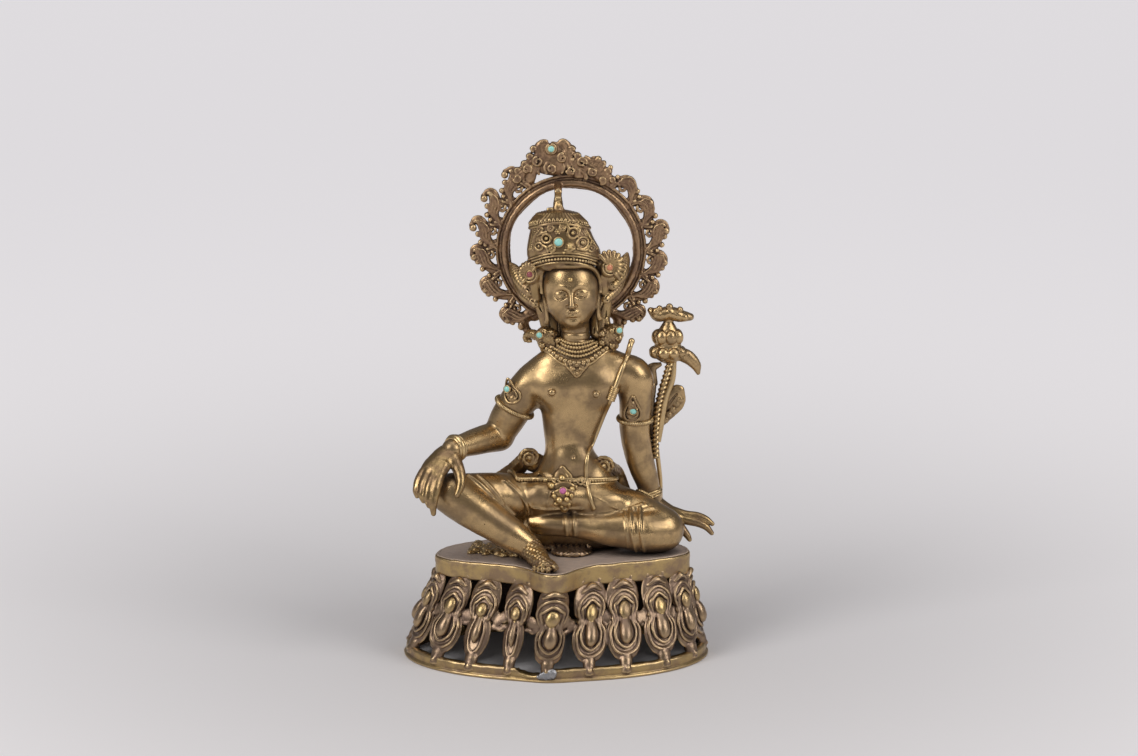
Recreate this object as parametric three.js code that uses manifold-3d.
// A seated bodhisattva in cast brass, at royal ease on an openwork double-lotus pedestal, with a
// flame halo behind the head and a lotus spray at the left shoulder. Millimetres, +Z up, facing -Y.
// Places are measured from the middle of the pedestal's foot; the group is then moved so that the
// whole object's box stands centred on the origin.
import * as THREE from "three";
import { mergeVertices } from "three/addons/utils/BufferGeometryUtils.js";
import Module from "manifold-3d";

const wasm = await Module();
wasm.setup();

// Gap left between two castings, and around each stone in its socket.
const GAP = 0.3;

// Points closer than this are one point.
const WELD = 1e-4;

// A lathe turns its profile about this axis.
const UP = new THREE.Vector3(0, 1, 0);
const FRONT = new THREE.Vector3(0, -1, 0);

function point(x, y, z) {
  return new THREE.Vector3(x, y, z);
}

function stone(name, kind, radius, centre, facing) {
  return { name, kind, radius, centre: point(...centre), facing: point(...facing).normalize() };
}

// Pedestal: heights, and the two ovals that its wall runs between.
const FOOT_HEIGHT = 7;
const FOOT_LIP = 1.4;
const FOOT_LIP_HEIGHT = 1.8;
const FOOT_WALL = 5;
const PLATE_TOP = 60.5;
const PLATE_BAND = 7.5;
const PLATE_THICKNESS = 3;
const PLATE_WALL = 4;
const FOOT_OVAL = { centreX: 0, halfWidth: 88.6, front: 56.9, back: 48.6, cusp: 3 };
const PLATE_OVAL = { centreX: 4, halfWidth: 75, front: 27, back: 40, cusp: 24 };
const CUSP_X = -4;
const CUSP_SPREAD = 14;
const CUSP_POWER = 2.6;
const OVAL_STEPS = 36;

// Lotus petals: one row points up under the seat plate, the other down to the foot.
const PETAL_COUNT = 18;
const PETAL_WAIST = 31;
const UPPER_PETAL = { height: 43.5, halfWidth: 11, halfHeight: 14.6, thickness: 6, out: 1 };
const LOWER_PETAL = { height: 18, halfWidth: 11.6, halfHeight: 16.5, thickness: 6, out: 1.5 };

// Figure: the joints of its pose.
const SPINE = [
  { z: 58, x: 11, y: 17, halfWidth: 27, halfDepth: 17 },
  { z: 70, x: 11, y: 17, halfWidth: 29, halfDepth: 19 },
  { z: 86, x: 11, y: 16, halfWidth: 28, halfDepth: 18 },
  { z: 100, x: 11, y: 15, halfWidth: 25.5, halfDepth: 17 },
  { z: 110, x: 9.5, y: 14.5, halfWidth: 20, halfDepth: 15 },
  { z: 119, x: 7.5, y: 14, halfWidth: 14.5, halfDepth: 13 },
  { z: 131, x: 8.5, y: 13.5, halfWidth: 15.5, halfDepth: 12.8 },
  { z: 146, x: 11, y: 12.5, halfWidth: 19.8, halfDepth: 13.8 },
  { z: 158, x: 12.5, y: 12.5, halfWidth: 23.5, halfDepth: 14.5 },
  { z: 170, x: 14.5, y: 13.5, halfWidth: 27, halfDepth: 12.5 },
  { z: 178, x: 14.5, y: 14.5, halfWidth: 23, halfDepth: 10 },
  { z: 183, x: 12.5, y: 15, halfWidth: 11, halfDepth: 8.6 },
];
const NECK_BASE = point(12, 15, 178);
const NECK_TOP = point(10, 13, 200);
const NECK_BASE_RADIUS = 9.4;
const NECK_RADIUS = 8.6;
const HEAD_CENTRE = point(8.8, 10.5, 213.2);
const HEAD_HALF = point(16.4, 16, 19.5);
const HEAD_TILT = -0.07;
const NOSE = { root: point(7.6, -3.6, 221), tip: point(8.4, -5, 212), radii: [1, 2] };
const EAR = { topReach: 15.6, topY: 10, topZ: 219, lobeReach: 15.2, lobeY: 11, lobeZ: 200, radii: [3, 2.4] };
const CROWN_FOOT = point(6, 10.5, 228);
const CROWN_LEAN = -0.13;
const CROWN_WIDEN = 1.05;
const CROWN_NARROW = 0.95;
const CROWN_FAN = { middleX: 8, reach: 22.4, y: 5, z: 226.5, rise: 2, turn: 0.45, radius: 6.4 };
const CROWN_PROFILE = [
  [0, -3],
  [17.5, -3],
  [20.4, 0],
  [20.4, 5],
  [18.8, 6.5],
  [15.4, 25],
  [16, 27],
  [15.4, 30],
  [0, 33],
];

const RIGHT_SHOULDER = point(-10.5, 14, 168.5);
const RIGHT_ELBOW = point(-33, 20, 125.5);
const RIGHT_WRIST = point(-59, -7, 125);
const RIGHT_KNUCKLES = point(-69.5, -22, 110);
const RIGHT_FINGERTIPS = [
  point(-79.6, -25, 100),
  point(-74.8, -29, 96.8),
  point(-69.6, -31, 91.8),
  point(-65.2, -31, 96.7),
];
const RIGHT_THUMB = [point(-55, -13, 117), point(-56.6, -26, 101.5)];
const RIGHT_PALM = [point(-73.5, -20, 111), point(-64.5, -26, 108)];
const RIGHT_PLAQUE = { centre: point(-26.4, 8.6, 156), half: point(4, 3.4, 6.5) };
const LEFT_PLAQUE = { centre: point(45, 8, 146), half: point(4, 3, 7) };
const LEFT_SHOULDER = point(43.5, 14, 168.5);
const LEFT_ELBOW = point(44.5, 18, 131);
const LEFT_FOREARM = point(48.5, 19, 110);
const LEFT_WRIST = point(55.8, 22, 90);
const LEFT_PALM = point(66.5, 21.5, 79.5);
const LEFT_FINGERTIPS = [
  point(92.2, 18, 73.8),
  point(92, 15, 69.4),
  point(79.4, 14, 66.5),
];
const RIGHT_HIP = point(-2, 13, 83);
const RIGHT_KNEE = point(-58, -13, 97);
const RIGHT_ANKLE = point(-16, -19, 70.5);
const RIGHT_HEEL = point(-16, -14, 66);
const RIGHT_TOES = point(-5.5, -43.5, 63.5);
const LEFT_HIP = point(25, 14, 78);
const LEFT_KNEE = point(63, 2, 73.6);
const LEFT_CALF = point(37, -3, 72.5);
const LEFT_ANKLE = point(13.5, 0, 73);
const LEFT_TOES = point(-13, 9.5, 75.5);

// Dress and jewellery.
const BELT_RADIUS = 2.1;
const BELT_LINE = [
  point(-15, 8, 104),
  point(-8, -1.6, 103),
  point(3.5, -4.6, 104),
  point(17, -3.6, 103),
  point(30, 3, 102),
  point(35.5, 12, 102),
];
const CLASP = { centre: point(3.5, -5.4, 107), half: point(4.6, 3.4, 5) };
const BELT_PENDANT = { centre: point(4, -5, 97), half: point(9.4, 4, 9.5) };
const ROSETTE_HALF_DEPTH = 4;
const SASH_ROSETTES = [
  { centre: point(-17.4, 22, 108.3), radius: 6 },
  { centre: point(27.8, 22, 109), radius: 5 },
];
const SASH_ENDS = [
  { from: point(-4, 20, 107), to: point(-36, 21, 98), radii: [6, 3.6] },
  { from: point(26, 22, 108), to: point(42, 24, 89), radii: [5.4, 4] },
];
const STRAP_RADIUS = 1.7;
const STRAP_LINE = [
  point(41.5, 9, 186),
  point(40, 3.6, 176),
  point(34.5, -0.6, 158),
  point(28.5, 0, 143),
  point(20.5, 1.2, 125),
  point(18, -1, 112),
  point(18.4, -4.2, 99),
  point(21.5, -3, 86),
];
const CLOTH_END = { centre: point(9, -6, 62.4), half: point(17, 6.5, 3) };
const NECKLACE = {
  centre: point(12, 9, 177.5),
  axis: point(0, -0.62, 1).normalize(),
  radius: 14.5,
  wire: 2.2,
  squash: 0.85,
  drop: point(12, -0.6, 168.5),
  dropHalf: point(5, 2.4, 4.6),
};
const SHOULDER_ORNAMENT = {
  foot: [point(-6.4, 12, 178), point(33, 12, 180)],
  top: [point(-8.6, 13, 190), point(36, 13, 193)],
  footRadius: 6.4,
  topRadius: 4.6,
};

// Halo: a ribbed ring with flames, standing upright behind the head.
const HALO_CENTRE = point(8.8, 30, 235.7);
const RING_INNER = 36.2;
const RING_OUTER = 43.2;
const RING_HALF_DEPTH = 2.8;
const RING_STEPS = 36;
const FLAMES_A_SIDE = 7;
const FIRST_FLAME_ANGLE = -0.78;
const LAST_FLAME_ANGLE = 1.24;
const FLAME_DEPTH = 3.6;
const FINIAL_HEIGHT = 300.3;
const FINIAL_DEPTH = 5.2;
const FINIAL_TRUNK = {
  from: point(1, HALO_CENTRE.y, 277),
  to: point(-1.5, HALO_CENTRE.y, FINIAL_HEIGHT - 6),
};
const FINIAL_LOBES = [-7, 5].map((x) => point(x, HALO_CENTRE.y, FINIAL_HEIGHT - 4));
const LOBE_HALF = point(4, 2.4, 4);
const STRUT_FOOT = 261.3;
const STRUT_RADIUS = 2.1;
const STRUT_LINE = [
  point(1.3, 12, STRUT_FOOT),
  point(1.3, 14, STRUT_FOOT + 5),
  point(1.3, 22, STRUT_FOOT + 9.5),
  point(1.3, HALO_CENTRE.y, STRUT_FOOT + 13),
];

// Lotus spray at the left shoulder.
const SPRAY_Y = 24;
const STEM_RADIUS = 1.9;
const SPRAY_STEM = [
  point(60, 24, 84),
  point(60, 25, 98),
  point(58.4, 24.5, 112),
  point(58.6, SPRAY_Y, 135),
  point(63.7, SPRAY_Y, 159),
  point(67, SPRAY_Y, 174),
];
const FLOWER_FOOT = point(66.6, SPRAY_Y, 170.5);
const FLOWER_SQUASH = 0.72;
const FLOWER_PROFILE = [
  [0, 0],
  [3, 0],
  [9.4, 5],
  [9.4, 13],
  [7, 20],
  [2.6, 24],
  [11.5, 28],
  [11.5, 31],
  [0, 33],
];
const DROOPING_LEAF = { from: point(72, SPRAY_Y, 176), to: point(82.4, SPRAY_Y, 165.5) };
const BIG_LEAF = { centre: point(71.5, SPRAY_Y, 147), half: point(7, 2.6, 12.5), lean: 0.3 };
const LEAF_STALK = { from: point(59, SPRAY_Y, 130), to: point(69, SPRAY_Y, 142) };
const BUD = { centre: point(57.4, SPRAY_Y, 163), half: point(6, 3, 5) };

// Stones: each one's node name, colour, radius, place, and the way it faces.
const STONE_RISE = 0.55;
const POCKET_DEPTH_IN_FRONT = 4;
const STONES = [
  stone("turquoise_crown", "turquoise", 2.5, [1.6, -5, 244.4], [-0.03, -1, 0.05]),
  stone("turquoise_halo", "turquoise", 2, [-2.8, 27.1, 294.8], [0, -1, 0]),
  stone("turquoise_right_shoulder", "turquoise", 1.9, [-9.6, 8.1, 188.6], [-0.3, -1, 0]),
  stone("turquoise_left_shoulder", "turquoise", 1.9, [36.9, 8.3, 191.6], [0.3, -1, 0]),
  stone("turquoise_right_armlet", "turquoise", 1.9, [-28, 5.9, 157.4], [-0.45, -1, 0.2]),
  stone("turquoise_left_armlet", "turquoise", 2.1, [45.3, 5.1, 144.4], [0.1, -1, 0]),
  stone("red_stone_right_rosette", "red", 2, [-15, 3.6, 224.5], [-0.35, -1, 0]),
  stone("orange_stone_left_rosette", "orange", 2, [31, 3.6, 228.5], [0.35, -1, 0]),
  stone("pink_stone_belt", "pink", 1.8, [3.8, -8.9, 99.2], [0, -1, 0.1]),
];
const STONE_COLOURS = { turquoise: 0x8fc7b8, red: 0x5e1d1f, orange: 0xb5552b, pink: 0xb04a78 };

const BRASS = new THREE.MeshStandardMaterial({ color: 0x9a8048, roughness: 0.35, metalness: 1 });
const DARK_BRASS = new THREE.MeshStandardMaterial({ color: 0x7a5c44, roughness: 0.5, metalness: 1 });

// Helpers: solids that can be joined and cut.

// A closed geometry as a solid, turned right side out where a lathe or a mirror turned it inside out.
function solidOf(geometry) {
  const bare = geometry.index ? geometry.toNonIndexed() : geometry.clone();
  bare.deleteAttribute("normal");
  bare.deleteAttribute("uv");
  const merged = mergeVertices(bare, WELD);
  const corners = merged.index.array;
  const place = merged.attributes.position;
  const [p, q, r] = [new THREE.Vector3(), new THREE.Vector3(), new THREE.Vector3()];
  const kept = [];
  let volume = 0;
  for (let i = 0; i < corners.length; i += 3) {
    const [a, b, c] = [corners[i], corners[i + 1], corners[i + 2]];
    if (a === b || b === c || a === c) continue;
    kept.push(a, b, c);
    p.fromBufferAttribute(place, a);
    q.fromBufferAttribute(place, b);
    r.fromBufferAttribute(place, c);
    volume += p.dot(q.cross(r));
  }
  if (volume < 0) kept.reverse();
  return new wasm.Manifold(
    new wasm.Mesh({ numProp: 3, vertProperties: place.array, triVerts: new Uint32Array(kept) }),
  );
}

function joined(solids) {
  return solids.reduce((whole, next) => whole.add(next));
}

// Joins can leave specks and sealed pockets where curved faces graze: only the main body is a casting.
function mainBody(solid) {
  return solid.decompose().reduce((best, body) => (body.volume() > best.volume() ? body : best));
}

function meshOf(solid, name, material) {
  const { vertProperties, triVerts } = mainBody(solid).getMesh();
  const geometry = new THREE.BufferGeometry();
  geometry.setAttribute("position", new THREE.BufferAttribute(vertProperties, 3));
  geometry.setIndex(new THREE.BufferAttribute(triVerts, 1));
  geometry.computeVertexNormals();
  const mesh = new THREE.Mesh(geometry, material);
  mesh.name = name;
  return mesh;
}

// A rounded bar between two points, such as a limb, with its own radius at each end. Each ridge is a
// raised ring, such as a bracelet, at a share of the way along.
function limb(start, end, startRadius, endRadius, { sides = 8, capRings = 1, ridges = [] } = {}) {
  const length = start.distanceTo(end);
  const profile = [new THREE.Vector2(0, -startRadius)];
  for (let ring = 1; ring <= capRings; ring++) {
    const angle = (Math.PI / 2) * (ring / capRings - 1);
    profile.push(new THREE.Vector2(startRadius * Math.cos(angle), startRadius * Math.sin(angle)));
  }
  for (const { at, rise, half } of ridges) {
    const radius = THREE.MathUtils.lerp(startRadius, endRadius, at);
    profile.push(new THREE.Vector2(radius, at * length - half));
    profile.push(new THREE.Vector2(radius + rise, at * length));
    profile.push(new THREE.Vector2(radius, at * length + half));
  }
  for (let ring = 0; ring < capRings; ring++) {
    const angle = (Math.PI / 2) * (ring / capRings);
    profile.push(new THREE.Vector2(endRadius * Math.cos(angle), length + endRadius * Math.sin(angle)));
  }
  profile.push(new THREE.Vector2(0, length + endRadius));
  const geometry = new THREE.LatheGeometry(profile, sides);
  const direction = end.clone().sub(start).normalize();
  const turn = new THREE.Quaternion().setFromUnitVectors(UP, direction);
  geometry.applyQuaternion(turn);
  geometry.translate(start.x, start.y, start.z);
  return solidOf(geometry);
}

function ball(centre, half, { across = 8, up = 5, turn = new THREE.Euler() } = {}) {
  const geometry = new THREE.SphereGeometry(1, across, up);
  geometry.rotateX(Math.PI / 2);
  geometry.scale(half.x, half.y, half.z);
  geometry.applyQuaternion(new THREE.Quaternion().setFromEuler(turn));
  geometry.translate(centre.x, centre.y, centre.z);
  return solidOf(geometry);
}

function tube(points, radius, sides, steps) {
  const section = new THREE.Shape();
  section.absarc(0, 0, radius, 0, 2 * Math.PI, false);
  const path = new THREE.CatmullRomCurve3(points);
  const settings = { steps, extrudePath: path, curveSegments: sides };
  return solidOf(new THREE.ExtrudeGeometry(section, settings));
}

function slab(outline, bottom, height) {
  const shape = new THREE.Shape(outline);
  const geometry = new THREE.ExtrudeGeometry(shape, { depth: height, bevelEnabled: false });
  geometry.translate(0, 0, bottom);
  return solidOf(geometry);
}

// A short round disc or socket whose axis points along `facing`.
function disc(centre, facing, radius, bottom, top, sides = 10) {
  const profile = [
    new THREE.Vector2(0, bottom),
    new THREE.Vector2(radius, bottom),
    new THREE.Vector2(radius, top),
    new THREE.Vector2(0, top),
  ];
  const geometry = new THREE.LatheGeometry(profile, sides);
  const turn = new THREE.Quaternion().setFromUnitVectors(UP, facing);
  geometry.applyQuaternion(turn);
  geometry.translate(centre.x, centre.y, centre.z);
  return solidOf(geometry);
}

// Pedestal.

function ovalPoint(oval, angle, inset = 0) {
  const across = Math.cos(angle);
  const along = Math.sin(angle);
  const x = oval.centreX + (oval.halfWidth - inset) * across;
  if (along >= 0) return new THREE.Vector2(x, (oval.back - inset) * along);
  const spread = (Math.abs(x - CUSP_X) / CUSP_SPREAD) ** CUSP_POWER;
  const cusp = (oval.cusp * -along) / (1 + spread);
  return new THREE.Vector2(x, (oval.front - inset) * along - cusp);
}

function ovalOutline(oval, inset = 0) {
  return Array.from({ length: OVAL_STEPS }, (_, i) =>
    ovalPoint(oval, (2 * Math.PI * i) / OVAL_STEPS, inset),
  );
}

function foot() {
  const lip = slab(ovalOutline(FOOT_OVAL, -FOOT_LIP), 0, FOOT_LIP_HEIGHT);
  const ring = slab(ovalOutline(FOOT_OVAL), 0, FOOT_HEIGHT);
  const inside = slab(ovalOutline(FOOT_OVAL, FOOT_WALL), -1, FOOT_HEIGHT + 2);
  return lip.add(ring).subtract(inside);
}

function seatPlate() {
  const bottom = PLATE_TOP - PLATE_BAND;
  const outer = slab(ovalOutline(PLATE_OVAL), bottom, PLATE_BAND);
  const pocket = slab(ovalOutline(PLATE_OVAL, PLATE_WALL), bottom - 1, PLATE_BAND - PLATE_THICKNESS + 1);
  return outer.subtract(pocket);
}

// The place on the pedestal's wall at one petal: a share of the way round, and a height.
function wallPlace(angle, height) {
  const wallHeight = PLATE_TOP - PLATE_BAND - FOOT_HEIGHT;
  const share = THREE.MathUtils.clamp((height - FOOT_HEIGHT) / wallHeight, 0, 1);
  const low = ovalPoint(FOOT_OVAL, angle, FOOT_WALL / 2);
  const high = ovalPoint(PLATE_OVAL, angle, PLATE_WALL / 2);
  const spot = low.lerp(high, share);
  return point(spot.x, spot.y, height);
}

// Angles that space the petals evenly along the wall, with one petal at the cusp.
function petalAngles() {
  const fine = 720;
  const lengths = [0];
  const start = -Math.PI / 2 + Math.asin(CUSP_X / PLATE_OVAL.halfWidth);
  for (let i = 1; i <= fine; i++) {
    const before = wallPlace(start + (2 * Math.PI * (i - 1)) / fine, PETAL_WAIST);
    const here = wallPlace(start + (2 * Math.PI * i) / fine, PETAL_WAIST);
    lengths.push(lengths[i - 1] + before.distanceTo(here));
  }
  const pitch = lengths[fine] / PETAL_COUNT;
  return Array.from({ length: PETAL_COUNT }, (_, i) => {
    const step = lengths.findIndex((length) => length >= i * pitch);
    return start + (2 * Math.PI * step) / fine;
  });
}

function petal(angle, shape) {
  const place = wallPlace(angle, shape.height);
  const [before, after] = [-0.02, 0.02].map((turn) => wallPlace(angle + turn, shape.height));
  const [under, over] = [-6, 6].map((rise) => wallPlace(angle, shape.height + rise));
  const along = after.sub(before).normalize();
  const upward = over.sub(under).normalize();
  const outward = along.clone().cross(upward).normalize();
  const up = outward.clone().cross(along);
  const basis = new THREE.Matrix4().makeBasis(along, outward, up);
  basis.setPosition(place.addScaledVector(outward, shape.out));
  const leaf = new THREE.IcosahedronGeometry(1);
  leaf.scale(shape.halfWidth, shape.thickness, shape.halfHeight);
  leaf.applyMatrix4(basis);
  return solidOf(leaf);
}

function lotusPedestal() {
  const petals = petalAngles().flatMap((angle) => [petal(angle, UPPER_PETAL), petal(angle, LOWER_PETAL)]);
  return joined([foot(), seatPlate(), ...petals]);
}

// Figure.

function torso() {
  const profile = [new THREE.Vector2(0, SPINE[0].z)];
  SPINE.forEach((level) => profile.push(new THREE.Vector2(1, level.z)));
  profile.push(new THREE.Vector2(0, SPINE[SPINE.length - 1].z));
  const geometry = new THREE.LatheGeometry(profile, 12);
  const place = geometry.attributes.position;
  for (let i = 0; i < place.count; i++) {
    const height = place.getY(i);
    const level = SPINE.find((each) => Math.abs(each.z - height) < 1e-3);
    const x = level.x + place.getX(i) * level.halfWidth;
    const y = level.y - place.getZ(i) * level.halfDepth;
    place.setXYZ(i, x, y, height);
  }
  return solidOf(geometry);
}

function head() {
  const turn = new THREE.Euler(0, HEAD_TILT, 0);
  const skull = ball(HEAD_CENTRE, HEAD_HALF, { across: 10, up: 7, turn });
  const neck = limb(NECK_BASE, NECK_TOP, NECK_BASE_RADIUS, NECK_RADIUS);
  const nose = limb(NOSE.root, NOSE.tip, NOSE.radii[0], NOSE.radii[1], { sides: 5 });
  const ears = [-1, 1].map((side) => {
    const top = point(HEAD_CENTRE.x + side * EAR.topReach, EAR.topY, EAR.topZ);
    const lobe = point(HEAD_CENTRE.x + side * EAR.lobeReach, EAR.lobeY, EAR.lobeZ);
    return limb(top, lobe, EAR.radii[0], EAR.radii[1], { sides: 5 });
  });
  return joined([skull, neck, nose, ...ears]);
}

function crown() {
  const profile = CROWN_PROFILE.map(([radius, height]) => new THREE.Vector2(radius, height));
  const geometry = new THREE.LatheGeometry(profile, 12);
  geometry.rotateX(Math.PI / 2);
  geometry.scale(CROWN_WIDEN, CROWN_NARROW, 1);
  geometry.rotateY(CROWN_LEAN);
  geometry.translate(CROWN_FOOT.x, CROWN_FOOT.y, CROWN_FOOT.z);
  const fans = [-1, 1].map((side) => {
    const { middleX, reach, y, z, rise, turn, radius } = CROWN_FAN;
    const facing = point(side * turn, -1, 0).normalize();
    const centre = point(middleX + side * reach, y, z + side * rise);
    return disc(centre, facing, radius, -2.5, 1.4, 9);
  });
  return joined([solidOf(geometry), ...fans]);
}

function rightArm() {
  const armlet = [{ at: 0.5, rise: 2, half: 1.8 }];
  const bracelet = [{ at: 0.94, rise: 2, half: 2.4 }];
  const upper = limb(RIGHT_SHOULDER, RIGHT_ELBOW, 10.8, 8.4, { capRings: 2, ridges: armlet });
  const lower = limb(RIGHT_ELBOW, RIGHT_WRIST, 8.4, 6, { capRings: 2, ridges: bracelet });
  const plaque = ball(RIGHT_PLAQUE.centre, RIGHT_PLAQUE.half, { across: 6, up: 4 });
  return joined([upper, lower, plaque, rightHand()]);
}

function rightHand() {
  const back = limb(RIGHT_WRIST, RIGHT_KNUCKLES, 6.6, 6.6);
  const palm = limb(RIGHT_PALM[0], RIGHT_PALM[1], 4.8, 4.4);
  const fingers = RIGHT_FINGERTIPS.map((tip, i) => {
    const knuckle = RIGHT_KNUCKLES.clone().add(point(-5 + 3.4 * i, 1 - 1.8 * i, -1 - 0.6 * i));
    return limb(knuckle, tip, 2.7, 1.8, { sides: 5 });
  });
  const thumb = limb(RIGHT_THUMB[0], RIGHT_THUMB[1], 3, 2, { sides: 5 });
  return joined([back, palm, ...fingers, thumb]);
}

function leftArm() {
  const armlet = [{ at: 0.84, rise: 1.8, half: 1.8 }];
  const bracelet = [{ at: 0.97, rise: 1.8, half: 2.2 }];
  const upper = limb(LEFT_SHOULDER, LEFT_ELBOW, 10.8, 9.8, { capRings: 2, ridges: armlet });
  const middle = limb(LEFT_ELBOW, LEFT_FOREARM, 9.8, 7.8);
  const lower = limb(LEFT_FOREARM, LEFT_WRIST, 7.8, 6.2, { ridges: bracelet });
  const plaque = ball(LEFT_PLAQUE.centre, LEFT_PLAQUE.half, { across: 6, up: 4 });
  const palm = limb(LEFT_WRIST, LEFT_PALM, 6, 5.4);
  const fingers = LEFT_FINGERTIPS.map((tip, i) => {
    const knuckle = LEFT_PALM.clone().add(point(2, 1 - 3 * i, 1 - 1.6 * i));
    return limb(knuckle, tip, 2.9, 1.7, { sides: 5 });
  });
  return joined([upper, middle, lower, plaque, palm, ...fingers]);
}

function rightLeg() {
  const hem = [{ at: 0.72, rise: 1.2, half: 1.6 }];
  const thigh = limb(RIGHT_HIP, RIGHT_KNEE, 17, 12.2, { capRings: 2, ridges: hem });
  const shin = limb(RIGHT_KNEE, RIGHT_ANKLE, 11.4, 7.2, { capRings: 2 });
  const heel = limb(RIGHT_ANKLE, RIGHT_HEEL, 6.8, 6.2);
  const sole = limb(RIGHT_HEEL, RIGHT_TOES, 6, 4.6);
  const toes = [-1, 0, 1].map((i) =>
    limb(
      RIGHT_TOES.clone().add(point(3.4 * i, 2 + 1.2 * i, 0)),
      RIGHT_TOES.clone().add(point(3.4 * i - 0.4, -4 + 1.6 * i, -0.8)),
      2.2,
      1.7,
      { sides: 5 },
    ),
  );
  return joined([thigh, shin, heel, sole, ...toes]);
}

function leftLeg() {
  const hems = [0.25, 0.55].map((at) => ({ at, rise: 1, half: 1.4 }));
  const anklets = [0.7, 0.87].map((at) => ({ at, rise: 1.4, half: 1.6 }));
  const thigh = limb(LEFT_HIP, LEFT_KNEE, 17, 12.8);
  const knee = limb(LEFT_KNEE, LEFT_CALF, 12.7, 11.2, { capRings: 2, ridges: hems });
  const shin = limb(LEFT_CALF, LEFT_ANKLE, 11.2, 7.4, { ridges: anklets });
  const sole = limb(LEFT_ANKLE, LEFT_TOES, 6.8, 4.6);
  return joined([thigh, knee, shin, sole]);
}

function drapery() {
  const clasp = ball(CLASP.centre, CLASP.half, { across: 8, up: 4 });
  const pendant = ball(BELT_PENDANT.centre, BELT_PENDANT.half);
  const rosettes = SASH_ROSETTES.map(({ centre, radius }) =>
    disc(centre, FRONT, radius, -ROSETTE_HALF_DEPTH, ROSETTE_HALF_DEPTH, 8),
  );
  const sashes = SASH_ENDS.map(({ from, to, radii }) => limb(from, to, radii[0], radii[1]));
  const belt = tube(BELT_LINE, BELT_RADIUS, 4, 6);
  const strap = tube(STRAP_LINE, STRAP_RADIUS, 4, 8);
  const clothEnd = ball(CLOTH_END.centre, CLOTH_END.half, { across: 10, up: 4 });
  return joined([belt, clasp, pendant, ...rosettes, ...sashes, strap, clothEnd]);
}

// The necklace is one ring, tilted down at the front and narrower from front to back.
function necklace() {
  const geometry = new THREE.TorusGeometry(NECKLACE.radius, NECKLACE.wire, 4, 12);
  geometry.scale(1, NECKLACE.squash, 1);
  const turn = new THREE.Quaternion().setFromUnitVectors(point(0, 0, 1), NECKLACE.axis);
  geometry.applyQuaternion(turn);
  geometry.translate(NECKLACE.centre.x, NECKLACE.centre.y, NECKLACE.centre.z);
  const drop = ball(NECKLACE.drop, NECKLACE.dropHalf, { across: 6, up: 4 });
  return joined([solidOf(geometry), drop]);
}

function shoulderOrnaments() {
  const { foot, top, footRadius, topRadius } = SHOULDER_ORNAMENT;
  return joined(foot.map((start, i) => limb(start, top[i], footRadius, topRadius)));
}

function lotusSpray() {
  const stem = tube(SPRAY_STEM, STEM_RADIUS, 4, 8);
  const profile = FLOWER_PROFILE.map(([radius, height]) => new THREE.Vector2(radius, height));
  const flower = new THREE.LatheGeometry(profile, 8);
  flower.rotateX(Math.PI / 2);
  flower.scale(1, FLOWER_SQUASH, 1);
  flower.translate(FLOWER_FOOT.x, FLOWER_FOOT.y, FLOWER_FOOT.z);
  const droop = limb(DROOPING_LEAF.from, DROOPING_LEAF.to, 3.4, 1.4, { sides: 5 });
  const leafTurn = new THREE.Euler(0, BIG_LEAF.lean, 0);
  const bigLeaf = ball(BIG_LEAF.centre, BIG_LEAF.half, { turn: leafTurn });
  const leafStalk = limb(LEAF_STALK.from, LEAF_STALK.to, 1.8, 2.4, { sides: 5 });
  const bud = ball(BUD.centre, BUD.half, { across: 7, up: 4 });
  return joined([stem, solidOf(flower), droop, bigLeaf, leafStalk, bud]);
}

function seatedFigure() {
  const whole = joined([
    torso(),
    head(),
    crown(),
    rightArm(),
    leftArm(),
    rightLeg(),
    leftLeg(),
    drapery(),
    necklace(),
    shoulderOrnaments(),
    lotusSpray(),
  ]);
  const margin = 30;
  const below = slab(ovalOutline(FOOT_OVAL, -margin), 0, PLATE_TOP + GAP);
  return whole.subtract(below);
}

// Halo.

function flame(size) {
  const leaf = new THREE.Shape();
  leaf.moveTo(-6.5 * size, -4);
  leaf.bezierCurveTo(-10 * size, 8 * size, -2 * size, 17 * size, 9 * size, 15.5 * size);
  leaf.bezierCurveTo(3 * size, 11 * size, 10 * size, 3 * size, 6 * size, -4);
  leaf.closePath();
  const settings = { depth: FLAME_DEPTH, bevelEnabled: false, curveSegments: 3 };
  const geometry = new THREE.ExtrudeGeometry(leaf, settings);
  geometry.translate(0, 0, -FLAME_DEPTH / 2);
  geometry.rotateX(Math.PI / 2);
  return geometry;
}

// One flame at a place round the ring: `angle` counts up from the right-hand side, `side` mirrors it.
function placedFlame(angle, side, size) {
  const geometry = flame(size);
  geometry.translate(0, 0, RING_OUTER);
  geometry.scale(-1, 1, 1);
  geometry.rotateY(Math.PI / 2 - angle);
  geometry.scale(side, 1, 1);
  geometry.translate(HALO_CENTRE.x, HALO_CENTRE.y, HALO_CENTRE.z);
  return solidOf(geometry);
}

// The finial is a trunk with two lobes, cut to the thickness of a plate.
function finial() {
  const trunk = limb(FINIAL_TRUNK.from, FINIAL_TRUNK.to, 9, 5.6, { sides: 10 });
  const lobes = FINIAL_LOBES.map((centre) => ball(centre, LOBE_HALF));
  const plate = new THREE.BoxGeometry(60, FINIAL_DEPTH, 60);
  plate.translate(0, HALO_CENTRE.y, 280);
  return joined([trunk, ...lobes]).intersect(solidOf(plate));
}

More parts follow.
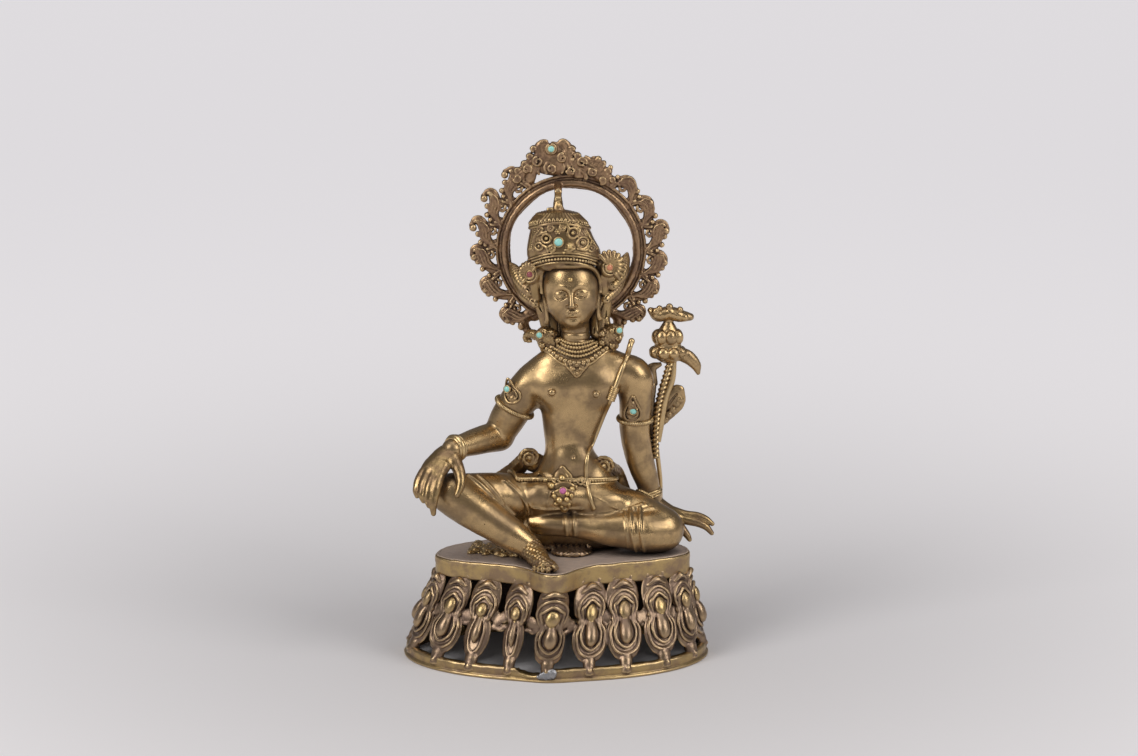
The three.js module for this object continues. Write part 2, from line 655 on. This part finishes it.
function flameHalo() {
  const profile = [
    [RING_INNER, 0],
    [RING_INNER + 1.2, -RING_HALF_DEPTH],
    [RING_INNER + 4.4, -RING_HALF_DEPTH],
    [RING_OUTER, -RING_HALF_DEPTH * 0.6],
    [RING_OUTER, RING_HALF_DEPTH * 0.7],
    [RING_INNER + 1, RING_HALF_DEPTH * 0.7],
    [RING_INNER, 0],
  ].map(([radius, height]) => new THREE.Vector2(radius, height));
  const ring = new THREE.LatheGeometry(profile, RING_STEPS);
  ring.translate(HALO_CENTRE.x, HALO_CENTRE.y, HALO_CENTRE.z);
  const flames = [-1, 1].flatMap((side) =>
    Array.from({ length: FLAMES_A_SIDE }, (_, i) => {
      const share = i / (FLAMES_A_SIDE - 1);
      const angle = FIRST_FLAME_ANGLE + share * (LAST_FLAME_ANGLE - FIRST_FLAME_ANGLE);
      return placedFlame(angle, side, 1 + 0.06 * (i % 2));
    }),
  );
  return joined([solidOf(ring), ...flames, finial(), tube(STRUT_LINE, STRUT_RADIUS, 8, 8)]);
}

// Stones and their sockets.

function stoneSolid({ centre, facing, radius }) {
  const dome = new THREE.SphereGeometry(radius, 8, 4);
  dome.scale(1, STONE_RISE, 1);
  dome.applyQuaternion(new THREE.Quaternion().setFromUnitVectors(UP, facing));
  dome.translate(centre.x, centre.y, centre.z);
  return solidOf(dome);
}

function withSockets(body, stones) {
  return stones.reduce((whole, { centre, facing, radius }) => {
    const floor = -radius * STONE_RISE - GAP;
    return whole.subtract(disc(centre, facing, radius + GAP, floor, POCKET_DEPTH_IN_FRONT, 8));
  }, body);
}

function setStones() {
  return STONES.map((each) => {
    const finish = { color: STONE_COLOURS[each.kind], roughness: 0.35 };
    return meshOf(stoneSolid(each), each.name, new THREE.MeshStandardMaterial(finish));
  });
}

const haloStones = STONES.filter((each) => each.name === "turquoise_halo");
const figureStones = STONES.filter((each) => each.name !== "turquoise_halo");

const statue = new THREE.Group();
statue.add(
  meshOf(lotusPedestal(), "lotus_pedestal", BRASS),
  meshOf(withSockets(seatedFigure(), figureStones), "seated_figure", BRASS),
  meshOf(withSockets(flameHalo(), haloStones), "flame_halo", DARK_BRASS),
  ...setStones(),
);

const box = new THREE.Box3().setFromObject(statue);
const middle = box.getCenter(new THREE.Vector3());
statue.position.set(-middle.x, -middle.y, -box.min.z);

export default statue;
